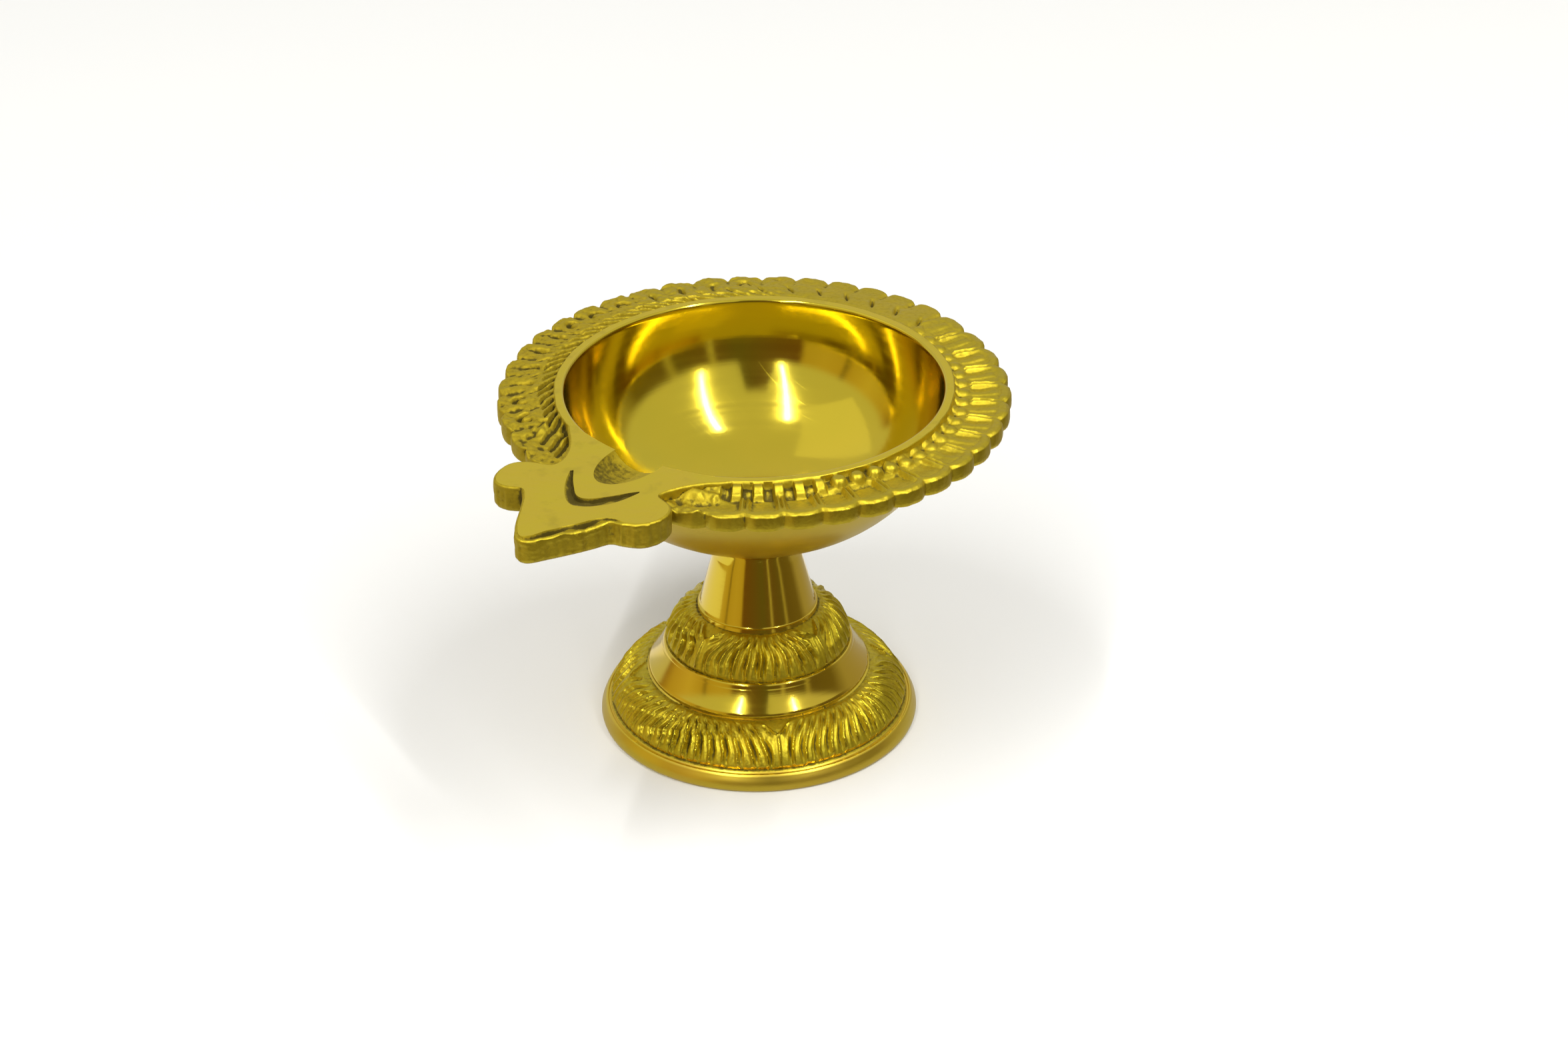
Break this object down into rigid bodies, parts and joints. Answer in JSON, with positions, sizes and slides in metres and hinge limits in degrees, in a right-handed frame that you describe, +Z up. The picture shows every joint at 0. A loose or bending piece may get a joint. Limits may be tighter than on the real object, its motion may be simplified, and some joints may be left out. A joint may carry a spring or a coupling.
{
  "type": "diya oil lamp",
  "caption": "Footed brass oil lamp: open round bowl with a beaded petal rim and an arrow-headed wick spout, on a turned pedestal with bands of leaf relief.",
  "frame": {"origin": "centre of the flat ring under the foot, on the axis of the bowl and stem", "axes": "+Z up along the axis of the bowl and stem, -Y towards the tip of the spout"},
  "size_m": [0.0814, 0.0997, 0.06],
  "materials": {
    "bowl_brass": "lathe-polished inside and below, dull as-cast relief on the rim, filed flat on the lip and spout",
    "pedestal_brass": "lathe-polished stem, band and foot rim, dull as-cast leaf relief between",
    "stud_brass": "machined thread"
  },
  "bodies": {
    "pedestal": {"pedestal": "pedestal_brass"},
    "stud": {"bowl_stud": "stud_brass"},
    "bowl": {"oil_bowl": "bowl_brass"}
  },
  "joints": [
    {"name": "stud_rise", "type": "slide", "parent": "pedestal", "child": "stud", "axis": [0, 0, 1], "range_m": [0, 0.00876]},
    {"name": "bowl_unscrew", "type": "hinge", "parent": "stud", "child": "bowl", "pos_m": [0, 0, 0.032], "axis": [0, 0, 1], "range_deg": [0, 2520]}
  ],
  "couplings": [
    {"joint": "stud_rise", "follows": "bowl_unscrew", "m_per_rad": 0.00019894}
  ]
}
